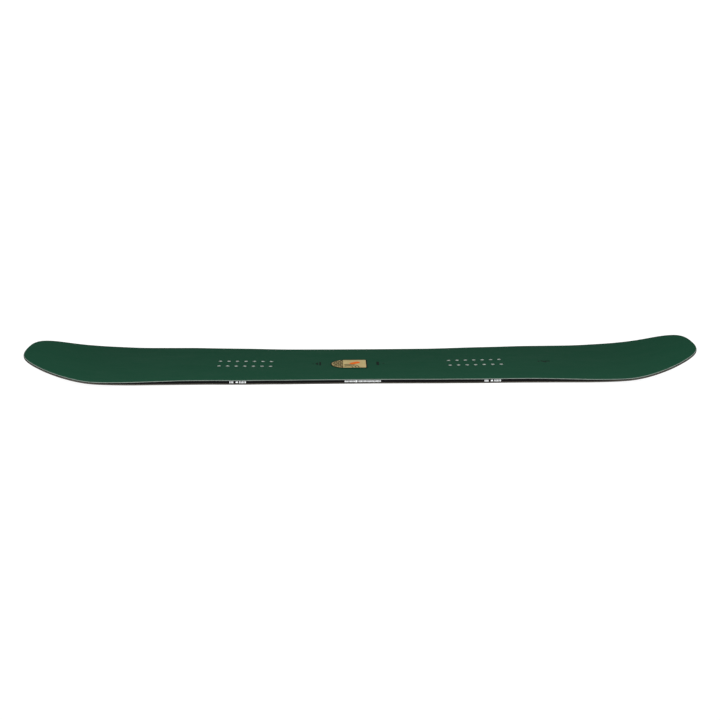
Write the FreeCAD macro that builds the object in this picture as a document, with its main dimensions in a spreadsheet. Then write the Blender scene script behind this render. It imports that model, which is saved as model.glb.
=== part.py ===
# Snowboard with a stick-on stomp pad, built up as a laminated sandwich.
# +X points to the nose, +Y to the heel side, +Z up; z = 0 is the flat middle of the base.
# The origin is the middle of the board's length and width, at the base.

import FreeCAD, Part
import math
import os
from FreeCAD import Vector

os.makedirs("parts", exist_ok=True)
doc = FreeCAD.newDocument("snowboard")

# ---------------------------------------------------------------------------
# Driving sizes, in millimetres unless the note says otherwise
# ---------------------------------------------------------------------------

SIZES = (
    ("contact_length", 1198.0, "between the widest points of nose and tail"),
    ("nose_length", 183.0, "widest point to the nose's end"),
    ("tail_length", 177.0, "widest point to the tail's end"),
    ("tip_width", 300.0, "widest point, across the steel edges"),
    ("waist_width", 256.9, "narrowest point, across the steel edges"),
    ("sidecut_rounding", 30.0, "power that rounds the sidecut off at the widest points, no unit"),
    ("grip_depth", 1.4, "how far the edge bulges beside each foot"),
    ("grip_length", 160.0, "length of that bulge"),
    ("shoulder_reach", 0.40, "tip's shoulder station, as a share of the tip's length, no unit"),
    ("shoulder_width", 269.0, "across the tip at its shoulder station"),
    ("round_reach", 0.92, "tip's end station, as a share of the tip's length, no unit"),
    ("round_width", 155.3, "across the tip at its end station"),
    ("flat_length", 330.0, "flat middle of the base"),
    ("rise_start", 20.0, "run over which the base bends up from the flat"),
    ("rise_slope", 0.0137, "sine of the slope from there to the kicks, no unit"),
    ("kick_run", 98.5, "from the start of a kick to the widest point"),
    ("kick_foot_slope", 0.080, "sine of the base's slope at the widest point, no unit"),
    ("kick_bend", 117.5, "from the widest point to where the tip runs straight"),
    ("nose_slope", 0.320, "sine of the slope of the straight end of the nose, no unit"),
    ("tail_slope", 0.2885, "sine of the slope of the straight end of the tail, no unit"),
    ("base_thickness", 1.5, "running base"),
    ("edge_width", 2.0, "steel edge beside the base"),
    ("tang_thickness", 0.6, "flange of the steel edge, on the base"),
    ("tang_width", 5.0, "flange of the steel edge, inwards from its body"),
    ("damper_thickness", 0.2, "rubber foil over the tang"),
    ("laminate_thickness", 0.4, "bottom glass laminate over the foil"),
    ("core_thickness", 6.3, "wood core in the middle"),
    ("spacer_thickness", 1.3, "plastic spacer in the tips"),
    ("taper_start", 400.0, "middle of the stance to where the core starts to thin"),
    ("taper_run", 205.0, "length over which the core thins"),
    ("taper_blend", 40.0, "rounding of the deck at each end of that taper"),
    ("core_length", 1210.0, "wood core, between the spacers"),
    ("strip_count", 13.0, "wood strips side by side in the core"),
    ("sidewall_width", 6.0, "sidewall beside the core"),
    ("sidewall_inset", 0.4, "sidewall face inside the steel edge"),
    ("top_laminate_thickness", 0.6, "top glass laminate"),
    ("top_laminate_inset", 1.0, "its rim inside the steel edge"),
    ("topsheet_thickness", 0.6, "printed topsheet"),
    ("topsheet_inset", 1.75, "its rim inside the steel edge"),
    ("stance_width", 540.0, "between the middles of the two insert blocks"),
    ("insert_pitch", 20.0, "inserts along the board"),
    ("insert_columns", 7.0, "inserts in a row of one block"),
    ("insert_row_gap", 40.0, "between the two rows"),
    ("insert_bore_radius", 2.5, "M6 thread, core radius"),
    ("insert_barrel_radius", 4.25, "barrel of a threaded insert"),
    ("insert_flange_radius", 7.75, "flange under the core"),
    ("insert_flange_thickness", 1.2, "flange under the core"),
    ("insert_floor", 0.8, "closed bottom of the insert"),
    ("insert_clearance", 0.05, "glue gap round an insert"),
    ("stomp_length", 85.0, "stomp pad along the board"),
    ("stomp_width", 68.0, "stomp pad across the board"),
    ("stomp_arch", 30.0, "depth of the pad's rounded end"),
    ("stomp_offset", 27.0, "pad's middle behind the middle of the stance"),
    ("stomp_aside", 5.0, "pad's middle to the toe side"),
    ("stomp_adhesive", 0.2, "adhesive film under the pad"),
    ("stomp_thickness", 1.0, "pad and rim"),
    ("stomp_rim", 2.4, "width of the pad's rim"),
    ("rib_height", 0.5, "grip ribs above the pad"),
    ("rib_width", 2.2, "grip rib"),
    ("rib_pitch", 7.2, "between neighbouring grip ribs"),
    ("rib_margin", 1.0, "clear strip between ribs and rim"),
    ("rib_angle", 55.0, "ribs to the board's long axis, in degrees"),
    ("rib_zone", 26.0, "length of the pad's end with crossing ribs"),
    ("arch_count", 3.0, "arched ribs beside the crossing ones"),
    ("arch_radius", 11.0, "smallest arched rib, at its middle"),
    ("arch_pitch", 7.0, "between neighbouring arched ribs"),
    ("arch_offset", 2.0, "middle of the arches behind the pad's middle"),
    ("accent_length", 27.0, "plain coloured capsule on the pad"),
    ("accent_width", 14.0, "plain coloured capsule on the pad"),
    ("accent_turn", 35.0, "capsule to the board's long axis, in degrees"),
    ("accent_ahead", 14.0, "capsule's middle ahead of the pad's middle"),
    ("accent_aside", 6.0, "capsule's middle to the heel side of the pad's"),
)

sheet = doc.addObject("Spreadsheet::Sheet", "Sizes")
for row, (alias, value, note) in enumerate(SIZES, start=1):
    sheet.set(f"A{row}", note)
    sheet.set(f"B{row}", str(value))
    sheet.setAlias(f"B{row}", alias)
doc.recompute()


def size(alias):
    return float(sheet.get(alias))


HALF_CONTACT = size("contact_length") / 2
OUTLINE_STEP = 30.0                      # between points of a plan outline
STANCE_CENTRE = (size("tail_length") - size("nose_length")) / 2   # x of the sidecut's middle
CENTRE_TEXT = "(Sizes.tail_length - Sizes.nose_length) / 2"
TOOL_LOW = -5.0          # the cutting prisms start below the base
TOOL_HEIGHT = 110.0      # and end above the tips
END_MARGIN = 6.0         # the slabs run past the nose and the tail by this much
INSERT_SPARE = 1.0       # insert blanks start this far under the core, before they are trimmed
BARREL_SPARE = 5.0       # and their barrels end this far over it
SLAB_WIDTH = "Sizes.tip_width * 1.1"

# heights of the layers above the running surface
EDGE_TOP = size("base_thickness") + size("tang_thickness")
DAMPER_TOP = EDGE_TOP + size("damper_thickness")
CORE_BOTTOM = DAMPER_TOP + size("laminate_thickness")

# insets of the layers from the outside of the steel edges
BASE_INSET = size("edge_width")
TANG_INSET = size("edge_width") + size("tang_width")
CORE_INSET = size("sidewall_inset") + size("sidewall_width")


# ---------------------------------------------------------------------------
# Shape of the board: plan outline and side profile
# s is the distance along the board from the middle of the stance, + to the nose
# ---------------------------------------------------------------------------

def side_half_width(s):
    """Half width across the steel edges between the widest points."""
    waist = size("waist_width") / 2
    depth = size("tip_width") / 2 - waist
    power = size("sidecut_rounding")
    u = abs(s) / HALF_CONTACT
    overshoot = 2 / (power - 2)
    sidecut = depth * ((1 + overshoot) * u ** 2 - overshoot * u ** power)
    from_foot = (abs(s) - size("stance_width") / 2) / (size("grip_length") / 2)
    grip = size("grip_depth") * math.cos(from_foot * math.pi / 2) ** 2 if abs(from_foot) < 1 else 0
    return waist + sidecut + grip


def tip_stations(tip_length):
    """Shoulder, rounded end and end point of a tip's outline."""
    return [(HALF_CONTACT + size("shoulder_reach") * tip_length, size("shoulder_width") / 2),
            (HALF_CONTACT + size("round_reach") * tip_length, size("round_width") / 2),
            (HALF_CONTACT + tip_length, 0.0)]


def outline_points():
    """Heel-side half of the outline, from the tail's end to the nose's end."""
    tail = tip_stations(size("tail_length"))[::-1]
    nose = tip_stations(size("nose_length"))
    side_steps = 28
    stations = [HALF_CONTACT * (2 * step / side_steps - 1) for step in range(side_steps + 1)]
    side = [(s, side_half_width(s)) for s in stations]
    points = [(-s, y) for s, y in tail] + side + nose
    return [Vector(s + STANCE_CENTRE, y, 0) for s, y in points]


def spread_parameters(curve, points):
    """Parameters of a curve at its points and evenly between those that lie far apart."""
    stops = [curve.FirstParameter] + [curve.parameter(point) for point in points[1:]]
    spread = []
    for start, end, a, b in zip(stops, stops[1:], points, points[1:]):
        steps = max(round(a.distanceToPoint(b) / OUTLINE_STEP), 1)
        spread += [start + (end - start) * step / steps for step in range(steps)]
    return spread + [stops[-1]]


def outline_curve(inset):
    """Whole outline moved inwards by an inset, from the tail's end round the heel side."""
    heel_side = outline_points()
    toe_side = [Vector(point.x, -point.y, 0) for point in reversed(heel_side[1:-1])]
    outer = Part.BSplineCurve()
    outer.interpolate(Points=heel_side + toe_side, PeriodicFlag=True)
    moved = []
    for place in spread_parameters(outer, heel_side):
        way = outer.tangent(place)[0]
        moved.append(outer.value(place) + Vector(way.y, -way.x, 0) * inset)
    moved[0].y = moved[-1].y = 0
    mirrored = [Vector(point.x, -point.y, 0) for point in reversed(moved[1:-1])]
    curve = Part.BSplineCurve()
    curve.interpolate(Points=moved + mirrored, PeriodicFlag=True)
    return curve, moved[-1]


def half_curve(inset, side):
    """One side of the outline between the ends of tail and nose; 1 is the heel, -1 the toe."""
    curve, nose_end = outline_curve(inset)
    nose_at = curve.parameter(nose_end)
    if side == 1:
        return curve.toShape(curve.FirstParameter, nose_at)
    return curve.toShape(nose_at, curve.LastParameter)


def outline_face(inset):
    return Part.Face(Part.Wire([half_curve(inset, 1), half_curve(inset, -1)]))


def ring_face(outer_inset, inner_inset, side):
    """Band between two insets on one side of the board, closed at nose and tail."""
    outer, inner = half_curve(outer_inset, side), half_curve(inner_inset, side)
    closing = [Part.makeLine(outer.Vertexes[end].Point, inner.Vertexes[end].Point)
               for end in (0, -1)]
    return Part.Face(Part.Wire(Part.__sortEdges__([outer, inner] + closing)))


def along(knots, s):
    """Value at s between neighbouring knots of (distance, value), in a straight line."""
    for (start, low), (end, high) in zip(knots, knots[1:]):
        if s <= end:
            return low + (high - low) * max(s - start, 0) / (end - start)
    return knots[-1][1]


def base_slopes(end):
    """Sine of the base's slope: flat, a slight straight rise, then the kick of a tip."""
    flat_end = size("flat_length") / 2
    tip_slope = size("nose_slope") if end == 1 else size("tail_slope")
    return [
        (flat_end, 0.0),
        (flat_end + size("rise_start"), size("rise_slope")),
        (HALF_CONTACT - size("kick_run"), size("rise_slope")),
        (HALF_CONTACT, size("kick_foot_slope")),
        (HALF_CONTACT + size("kick_bend"), tip_slope),
    ]


def core_slopes():
    """How fast the core thins along the board."""
    start, blend = size("taper_start"), size("taper_blend")
    finish = start + size("taper_run")
    fall = (size("spacer_thickness") - size("core_thickness")) / size("taper_run")
    return [(start - blend / 2, 0.0), (start + blend / 2, fall),
            (finish - blend / 2, fall), (finish + blend / 2, 0.0)]


def deck_slopes(end):
    """The deck follows the base and the thinning core together."""
    base, core = base_slopes(end), core_slopes()
    stations = sorted({s for s, _ in base + core})
    return [(s, along(base, s) + along(core, s)) for s in stations]


def arcs(slopes, end):
    """Tangent arcs (start, end, sine at the start, radius or None, height at the start)."""
    tip_length = size("nose_length") if end == 1 else size("tail_length")
    last = HALF_CONTACT + tip_length + END_MARGIN
    knots = slopes + [(last, slopes[-1][1])]
    pieces, height = [], 0.0
    for (start, low), (stop, high) in zip(knots, knots[1:]):
        bend = high - low
        radius = (stop - start) / bend if abs(bend) > 1e-9 else None
        pieces.append((start, stop, low, radius, height))
        height = piece_height(pieces[-1], stop)
    return pieces


def piece_height(piece, s):
    start, _, sine, radius, height = piece
    if radius is None:
        return height + (s - start) * math.tan(math.asin(sine))
    now = sine + (s - start) / radius
    return height + radius * (math.sqrt(1 - sine ** 2) - math.sqrt(1 - now ** 2))


def base_height(s):
    """Height of the running surface at a distance from the middle of the stance."""
    end = 1 if s > 0 else -1
    for piece in arcs(base_slopes(end), end):
        if piece[0] <= abs(s) <= piece[1]:
            return piece_height(piece, abs(s))
    return 0.0


def surface_edges(slopes_of, offset):
    """Side view of one surface: the flat middle, then lines and arcs to both tips."""
    tips = []
    edges = []
    for end in (-1, 1):
        pieces = arcs(slopes_of(end), end)
        for piece in pieces:
            start, stop = piece[0], piece[1]
            middle = (start + stop) / 2
            points = [Vector(end * s + STANCE_CENTRE, 0, piece_height(piece, s) + offset)
                      for s in (start, middle, stop)]
            if piece[3] is None:
                edges.append(Part.makeLine(points[0], points[2]))
            else:
                edges.append(Part.Arc(*points).toShape())
        tips.append(points[2])
    flat = [Vector(end * pieces[0][0] + STANCE_CENTRE, 0, offset) for end in (-1, 1)]
    edges.append(Part.makeLine(*flat))
    return edges, tips


def below_core(offset):
    """A surface that follows the base, at a height over it."""
    return surface_edges(base_slopes, offset)


def above_core(offset):
    """A surface that follows the deck, at a height over the core."""
    return surface_edges(deck_slopes, CORE_BOTTOM + size("core_thickness") + offset)


def slab_face(low, high):
    """Side view of one layer, between two surfaces."""
    closing = [Part.makeLine(low_tip, high_tip) for low_tip, high_tip in zip(low[1], high[1])]
    return Part.Face(Part.Wire(Part.__sortEdges__(low[0] + high[0] + closing)))


# ---------------------------------------------------------------------------
# Document helpers
# ---------------------------------------------------------------------------

def feature(name, shape):
    item = doc.addObject("Part::Feature", name)
    item.Shape = shape
    return item


def bind(item, **expressions):
    for prop, text in expressions.items():
        item.setExpression(prop.replace("__", "."), text)
    return item


def prism(name, face):
    """Upright prism over a plan face, taller than the board."""
    item = doc.addObject("Part::Extrusion", name)
    item.Base = feature(name + "_plan", face)
    item.DirMode = "Custom"
    item.Dir = Vector(0, 0, 1)
    item.LengthFwd = TOOL_HEIGHT
    item.LengthRev = -TOOL_LOW
    item.Solid = True
    return item


def slab(name, low, high):
    """Layer between two surfaces, wider than the board."""
    item = doc.addObject("Part::Extrusion", name)
    item.Base = feature(name + "_side", slab_face(low, high))
    item.DirMode = "Custom"
    item.Dir = Vector(0, 1, 0)
    item.Solid = True
    item.Symmetric = True
    return bind(item, LengthFwd=SLAB_WIDTH)


def common(name, base, tool):
    item = doc.addObject("Part::Common", name)
    item.Base, item.Tool = base, tool
    return item


def cut(name, base, tool):
    item = doc.addObject("Part::Cut", name)
    item.Base, item.Tool = base, tool
    return item


def fuse(name, base, tool):
    item = doc.addObject("Part::Fuse", name)
    item.Base, item.Tool = base, tool
    return item


def box(name, **expressions):
    """Box of the tools' full height; its other sizes and its corner are bound to the sheet."""
    item = doc.addObject("Part::Box", name)
    item.Height = TOOL_HEIGHT
    item.Placement.Base.z = TOOL_LOW
    return bind(item, **expressions)


def cylinder(name, radius, height, bottom):
    """Upright cylinder on the z axis, all sizes bound to the sheet."""
    item = doc.addObject("Part::Cylinder", name)
    return bind(item, Radius=radius, Height=height, Placement__Base__z=bottom)


nodes = {}


def node(name, item):
    """Names a finished piece; its name is its file's name."""
    item.Label = name
    nodes[name] = item
    return item


# ---------------------------------------------------------------------------
# Threaded inserts: flange under the core, barrel up to the topsheet
# ---------------------------------------------------------------------------

def insert_places(foot):
    """Middles of one block's inserts; foot is 1 at the front and -1 at the rear."""
    columns = int(size("insert_columns"))
    middle = foot * size("stance_width") / 2
    places = []
    for column in range(columns):
        s = middle + (column - (columns - 1) / 2) * size("insert_pitch")
        for side in (-1, 1):
            bottom = base_height(s) + CORE_BOTTOM
            places.append(Vector(s + STANCE_CENTRE, side * size("insert_row_gap") / 2, bottom))
    return places


BARREL_LENGTH = f"Sizes.core_thickness + {BARREL_SPARE}"
FLANGE_LENGTH = f"Sizes.insert_flange_thickness + {INSERT_SPARE}"
flange = cylinder("insert_flange", "Sizes.insert_flange_radius", FLANGE_LENGTH, f"-{INSERT_SPARE}")
barrel = cylinder("insert_barrel", "Sizes.insert_barrel_radius", BARREL_LENGTH, "0")
bore = cylinder("insert_bore", "Sizes.insert_bore_radius", BARREL_LENGTH, "Sizes.insert_floor")
insert = cut("insert_blank", fuse("insert_outside", flange, barrel), bore)

flange_hole = cylinder("insert_flange_hole", "Sizes.insert_flange_radius + Sizes.insert_clearance",
                       FLANGE_LENGTH + " + Sizes.insert_clearance", f"-{INSERT_SPARE}")
barrel_hole = cylinder("insert_barrel_hole",
                       "Sizes.insert_barrel_radius + Sizes.insert_clearance", BARREL_LENGTH, "0")
insert_hole = fuse("insert_hole", flange_hole, barrel_hole)
doc.recompute()


def copies(name, item, places):
    """The same shape at each place, as one group of solids."""
    shapes = []
    for place in places:
        shape = item.Shape.copy()
        shape.translate(place)
        shapes.append(shape)
    return feature(name, Part.makeCompound(shapes))


all_places = insert_places(1) + insert_places(-1)
insert_holes = copies("insert_holes", insert_hole, all_places)

insert_trim = slab("insert_trim", below_core(CORE_BOTTOM),
                   above_core(size("top_laminate_thickness") + size("topsheet_thickness")))
for name, foot in (("front_foot_inserts", 1), ("rear_foot_inserts", -1)):
    blanks = copies(name + "_blanks", insert, insert_places(foot))
    node(name, common(name, blanks, insert_trim))


# ---------------------------------------------------------------------------
# Base, steel edges, dampers and bottom laminate
# ---------------------------------------------------------------------------

SIDES = (("toe_side", -1), ("heel_side", 1))

base_slab = slab("base_slab", below_core(0), below_core(size("base_thickness")))
edge_slab = slab("edge_slab", below_core(0), below_core(EDGE_TOP))
damper_slab = slab("damper_slab", below_core(EDGE_TOP), below_core(DAMPER_TOP))
laminate_slab = slab("laminate_slab", below_core(size("base_thickness")), below_core(CORE_BOTTOM))
base_seat_slab = slab("base_seat_slab", below_core(TOOL_LOW), below_core(size("base_thickness")))
tang_seat_slab = slab("tang_seat_slab", below_core(TOOL_LOW), below_core(DAMPER_TOP))

base_prism = prism("base_prism", outline_face(BASE_INSET))
base_seat = common("base_seat", base_prism, base_seat_slab)
node("base_sheet", common("base_sheet", base_prism, base_slab))

for side_name, side in SIDES:
    edge_ring = prism("edge_ring_" + side_name, ring_face(0, TANG_INSET, side))
    name = "steel_edge_" + side_name
    node(name, cut(name, common(name + "_blank", edge_ring, edge_slab), base_seat))

    damper_ring = prism("damper_ring_" + side_name,
                        ring_face(size("sidewall_inset"), TANG_INSET, side))
    name = "edge_damper_" + side_name
    node(name, common(name, damper_ring, damper_slab))

full_prism = prism("full_prism", outline_face(size("sidewall_inset")))
tang_seat_plan = outline_face(-size("edge_width")).cut(outline_face(TANG_INSET))
tang_seat = common("tang_seat", prism("tang_seat_prism", tang_seat_plan), tang_seat_slab)
laminate_blank = common("laminate_blank", full_prism, laminate_slab)
node("bottom_laminate", cut("bottom_laminate", laminate_blank, tang_seat))


# ---------------------------------------------------------------------------
# Core strips, sidewalls and tip spacers
# ---------------------------------------------------------------------------

core_slab = slab("core_slab", below_core(CORE_BOTTOM), above_core(0))
core_window = box("core_window", Length="Sizes.core_length", Width=SLAB_WIDTH,
                  Placement__Base__x=CENTRE_TEXT + " - Sizes.core_length / 2",
                  Placement__Base__y=f"-{SLAB_WIDTH} / 2")
core_layer = common("core_layer", core_slab, core_window)
core_prism = prism("core_prism", outline_face(CORE_INSET))
core_blank = cut("core_blank", common("core_plan", core_prism, core_layer), insert_holes)

CORE_WAIST = "(Sizes.waist_width - 2 * (Sizes.sidewall_inset + Sizes.sidewall_width))"
STRIP = CORE_WAIST + " / Sizes.strip_count"
strip_count = int(size("strip_count"))
for index in range(strip_count):
    first, last = index == 0, index == strip_count - 1
    width, low = STRIP, f"{STRIP} * ({index} - Sizes.strip_count / 2)"
    if first:
        low = "-Sizes.tip_width"
        width = f"{STRIP} * (1 - Sizes.strip_count / 2) + Sizes.tip_width"
    if last:
        width = "Sizes.tip_width"
    name = f"core_strip_{index + 1:02d}"
    window = box(name + "_window", Length="Sizes.core_length", Width=width,
                 Placement__Base__x=CENTRE_TEXT + " - Sizes.core_length / 2",
                 Placement__Base__y=low)
    node(name, common(name, core_blank, window))

for side_name, side in SIDES:
    ring = prism("sidewall_ring_" + side_name,
                 ring_face(size("sidewall_inset"), CORE_INSET, side))
    name = "sidewall_" + side_name
    node(name, common(name, ring, core_layer))

for name, end in (("nose_spacer", 1), ("tail_spacer", -1)):
    edge = "Sizes.core_length / 2" if end == 1 else "-Sizes.core_length / 2 - Sizes.tip_width"
    window = box(name + "_window", Length="Sizes.tip_width", Width=SLAB_WIDTH,
                 Placement__Base__x=f"{CENTRE_TEXT} + {edge}",
                 Placement__Base__y=f"-{SLAB_WIDTH} / 2")
    node(name, common(name, common(name + "_plan", full_prism, core_slab), window))


# ---------------------------------------------------------------------------
# Top laminate and topsheet, both drilled for the inserts
# ---------------------------------------------------------------------------

level = 0.0
for name in ("top_laminate", "topsheet"):
    thickness = size(name + "_thickness")
    plan = prism(name + "_prism", outline_face(size(name + "_inset")))
    layer = slab(name + "_slab", above_core(level), above_core(level + thickness))
    node(name, cut(name, common(name + "_blank", plan, layer), insert_holes))
    level += thickness


# ---------------------------------------------------------------------------
# Stomp pad: adhesive film, rim, pad, grip ribs and a plain capsule
# ---------------------------------------------------------------------------

DECK = CORE_BOTTOM + size("core_thickness") + level      # deck height over the flat middle
PAD_LOW = DECK + size("stomp_adhesive")
PAD_TOP = PAD_LOW + size("stomp_thickness")
PAD_X = STANCE_CENTRE - size("stomp_offset")


def pad_face(inset):
    """Pad seen from above: square towards the nose, arched towards the tail."""
    half_length = size("stomp_length") / 2
    half_width = size("stomp_width") / 2 - inset
    front, arch_end = PAD_X + half_length - inset, PAD_X - half_length + inset
    spring = PAD_X - half_length + size("stomp_arch")
    corners = [Vector(spring, half_width, 0), Vector(front, half_width, 0),
               Vector(front, -half_width, 0), Vector(spring, -half_width, 0)]
    arch = Part.Arc(corners[3], Vector(arch_end, 0, 0), corners[0]).toShape()
    lines = [Part.makeLine(a, b) for a, b in zip(corners, corners[1:])]
    return Part.Face(Part.Wire(lines + [arch]))


def raised(name, face, bottom, height):
    """Plate of an even height over a plan face, moved to the pad's place across the board."""
    item = doc.addObject("Part::Extrusion", name)
    item.Base = feature(name + "_plan", face)
    item.DirMode = "Custom"
    item.Dir = Vector(0, 0, 1)
    item.Solid = True
    item.Placement.Base = Vector(0, -size("stomp_aside"), bottom)
    return bind(item, LengthFwd=height)


def bar(middle, length, width, angle):
    """Plan face of a straight bar, turned about its middle."""
    face = Part.makePlane(length, width, Vector(-length / 2, -width / 2, 0))
    face.rotate(Vector(0, 0, 0), Vector(0, 0, 1), angle)
    face.translate(middle)
    return face


node("stomp_pad_adhesive", raised("stomp_pad_adhesive", pad_face(size("stomp_rim") / 2),
                                  DECK, "Sizes.stomp_adhesive"))
rim_outside = raised("rim_outside", pad_face(0), PAD_LOW, "Sizes.stomp_thickness")
pad = raised("stomp_pad", pad_face(size("stomp_rim")), PAD_LOW, "Sizes.stomp_thickness")
node("stomp_pad_rim", cut("stomp_pad_rim", rim_outside, pad))
node("stomp_pad", pad)


def window_plane(start, end):
    """Stretch of the pad between two x values, as wide as the pad."""
    return Part.makePlane(end - start, size("stomp_width"),
                          Vector(start, -size("stomp_width") / 2, 0))


def disc(middle, radius):
    return Part.Face(Part.Wire(Part.makeCircle(radius, middle)))


# crossing ribs fill the arched end
rib_field = pad_face(size("stomp_rim") + size("rib_margin"))
field_end = rib_field.BoundBox.XMin
zone_end = field_end + size("rib_zone")
zone_middle = Vector((field_end + zone_end) / 2, 0, 0)
crossing = []
for angle in (-size("rib_angle"), size("rib_angle")):
    across = Vector(-math.sin(math.radians(angle)), math.cos(math.radians(angle)), 0)
    count = int(size("stomp_width") / size("rib_pitch") / 2)
    for step in range(-count, count + 1):
        middle = zone_middle + across * step * size("rib_pitch")
        crossing.append(bar(middle, 2 * size("stomp_width"), size("rib_width"), angle))
lattice = crossing[0].multiFuse(crossing[1:]).removeSplitter()
lattice = lattice.common(window_plane(field_end, zone_end)).common(rib_field)

# arched ribs stand on the toe side, next to them
arch_middle = Vector(PAD_X - size("arch_offset"), rib_field.BoundBox.YMin, 0)
arches = []
for step in range(int(size("arch_count"))):
    radius = size("arch_radius") + step * size("arch_pitch")
    inner_radius = radius - size("rib_width") / 2
    outer_radius = radius + size("rib_width") / 2
    arches.append(disc(arch_middle, outer_radius).cut(disc(arch_middle, inner_radius)))
arch_start = zone_end + size("rib_width")
arch_field = window_plane(arch_start, rib_field.BoundBox.XMax).common(rib_field)
arch_plan = Part.makeCompound(arches).common(arch_field)
rib_plan = Part.makeCompound(lattice.Faces + arch_plan.Faces)
node("stomp_pad_ribs", raised("stomp_pad_ribs", rib_plan, PAD_TOP, "Sizes.rib_height"))

# plain capsule, turned off the board's axis
end_radius = size("accent_width") / 2
straight = size("accent_length") - size("accent_width")
ends = [disc(Vector(end * straight / 2, 0, 0), end_radius) for end in (-1, 1)]
capsule = bar(Vector(0, 0, 0), straight, size("accent_width"), 0).multiFuse(ends).removeSplitter()
capsule.rotate(Vector(0, 0, 0), Vector(0, 0, 1), size("accent_turn"))
capsule.translate(Vector(PAD_X + size("accent_ahead"), size("accent_aside"), 0))
node("stomp_pad_accent", raised("stomp_pad_accent", capsule, PAD_TOP, "Sizes.rib_height"))


# ---------------------------------------------------------------------------
# Checks and export
# ---------------------------------------------------------------------------

doc.recompute()
failed = [item.Label for item in doc.Objects if {"Invalid", "Error"} & set(item.State)]
if failed:
    raise RuntimeError(f"features failed: {failed}")
bad = [name for name, item in nodes.items()
       if item.Shape.isNull() or not item.Shape.isValid() or not item.Shape.Solids]
if bad:
    raise RuntimeError(f"pieces without a valid solid: {bad}")
for name, item in nodes.items():
    item.Shape.exportStep(f"parts/{name}.step")
    extent = item.Shape.BoundBox
    print(f"{name}: {len(item.Shape.Solids)} solid(s), {item.Shape.Volume / 1000:.1f} cm3, "
          f"z {extent.ZMin:.2f} to {extent.ZMax:.2f}")
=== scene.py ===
# Looks of the snowboard: smooth skins, rims, threads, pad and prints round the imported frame.
# Lengths are in millimetres until mesh() turns them into metres.

import math

import bmesh
import bpy
import numpy as np
from mathutils import Euler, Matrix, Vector
from mathutils.geometry import delaunay_2d_cdt


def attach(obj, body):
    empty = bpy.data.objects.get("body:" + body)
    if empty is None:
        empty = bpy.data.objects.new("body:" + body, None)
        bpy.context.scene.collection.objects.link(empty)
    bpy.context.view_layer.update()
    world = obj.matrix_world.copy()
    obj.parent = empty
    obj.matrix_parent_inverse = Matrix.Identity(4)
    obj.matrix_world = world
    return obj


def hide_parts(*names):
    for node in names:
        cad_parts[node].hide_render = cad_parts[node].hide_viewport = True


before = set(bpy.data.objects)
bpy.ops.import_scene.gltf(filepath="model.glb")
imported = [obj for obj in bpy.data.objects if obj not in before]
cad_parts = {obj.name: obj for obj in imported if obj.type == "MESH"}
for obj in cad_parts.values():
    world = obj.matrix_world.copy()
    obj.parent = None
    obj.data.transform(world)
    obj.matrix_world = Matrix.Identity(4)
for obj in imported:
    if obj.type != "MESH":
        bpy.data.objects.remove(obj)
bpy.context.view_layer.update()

MM = 0.001

# ---------------------------------------------------------------------------
# Sizes, the same as the frame's
# ---------------------------------------------------------------------------

NOSE_LENGTH, TAIL_LENGTH = 183.0, 177.0
HALF_CONTACT = 599.0
TIP_WIDTH, WAIST_WIDTH = 300.0, 256.9
SIDECUT_ROUNDING = 30.0
GRIP_DEPTH, GRIP_LENGTH = 1.4, 160.0
SHOULDER_REACH, SHOULDER_WIDTH = 0.40, 269.0
ROUND_REACH, ROUND_WIDTH = 0.92, 155.3
STANCE_WIDTH = 540.0
STANCE_X = (TAIL_LENGTH - NOSE_LENGTH) / 2
SIDE_SPANS = 28                          # between the stations of one side
TIP_STEP, SIDE_STEP = 3.0, 7.0           # longest steps of the outline's points

FLAT_END = 165.0
RISE_START, RISE_SLOPE = 20.0, 0.0137
KICK_RUN, KICK_FOOT_SLOPE, KICK_BEND = 98.5, 0.080, 117.5
TIP_SLOPE = {1: 0.320, -1: 0.2885}

BASE_TOP = 1.5
EDGE_TOP = 2.1
DAMPER_TOP = 2.3
CORE_BOTTOM = 2.7
CORE_THICKNESS, SPACER_THICKNESS = 6.3, 1.3
TAPER_START, TAPER_RUN, TAPER_BLEND = 400.0, 205.0, 40.0
CORE_HALF_LENGTH = 605.0
LAMINATE = 0.6
TOPSHEET = 0.6
DECK = LAMINATE + TOPSHEET               # deck over the core's top

EDGE_WIDTH, TANG_INSET = 2.0, 7.0
SIDE_INSET, CORE_INSET = 0.4, 6.4
TOP_INSET = 1.75

INSERT_PITCH, INSERT_ROW = 20.0, 20.0
BARREL_RADIUS, BORE_RADIUS, THREAD_RADIUS = 4.25, 2.5, 3.0
HOLE_RADIUS = 4.3
THREAD_PITCH = 1.0
INSERT_FLOOR = 0.8
FLANGE_RADIUS, FLANGE_THICKNESS = 7.75, 1.2


# ---------------------------------------------------------------------------
# Shape of the board; s runs from the middle of the stance, + to the nose
# ---------------------------------------------------------------------------

def along(knots, s):
    return float(np.interp(s, [k[0] for k in knots], [k[1] for k in knots]))


def base_slopes(end):
    return [(FLAT_END, 0.0), (FLAT_END + RISE_START, RISE_SLOPE),
            (HALF_CONTACT - KICK_RUN, RISE_SLOPE), (HALF_CONTACT, KICK_FOOT_SLOPE),
            (HALF_CONTACT + KICK_BEND, TIP_SLOPE[end])]


def core_slopes():
    finish = TAPER_START + TAPER_RUN
    fall = (SPACER_THICKNESS - CORE_THICKNESS) / TAPER_RUN
    return [(TAPER_START - TAPER_BLEND / 2, 0.0), (TAPER_START + TAPER_BLEND / 2, fall),
            (finish - TAPER_BLEND / 2, fall), (finish + TAPER_BLEND / 2, 0.0)]


def deck_slopes(end):
    base, core = base_slopes(end), core_slopes()
    stations = sorted({s for s, _ in base + core})
    return [(s, along(base, s) + along(core, s)) for s in stations]


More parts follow.
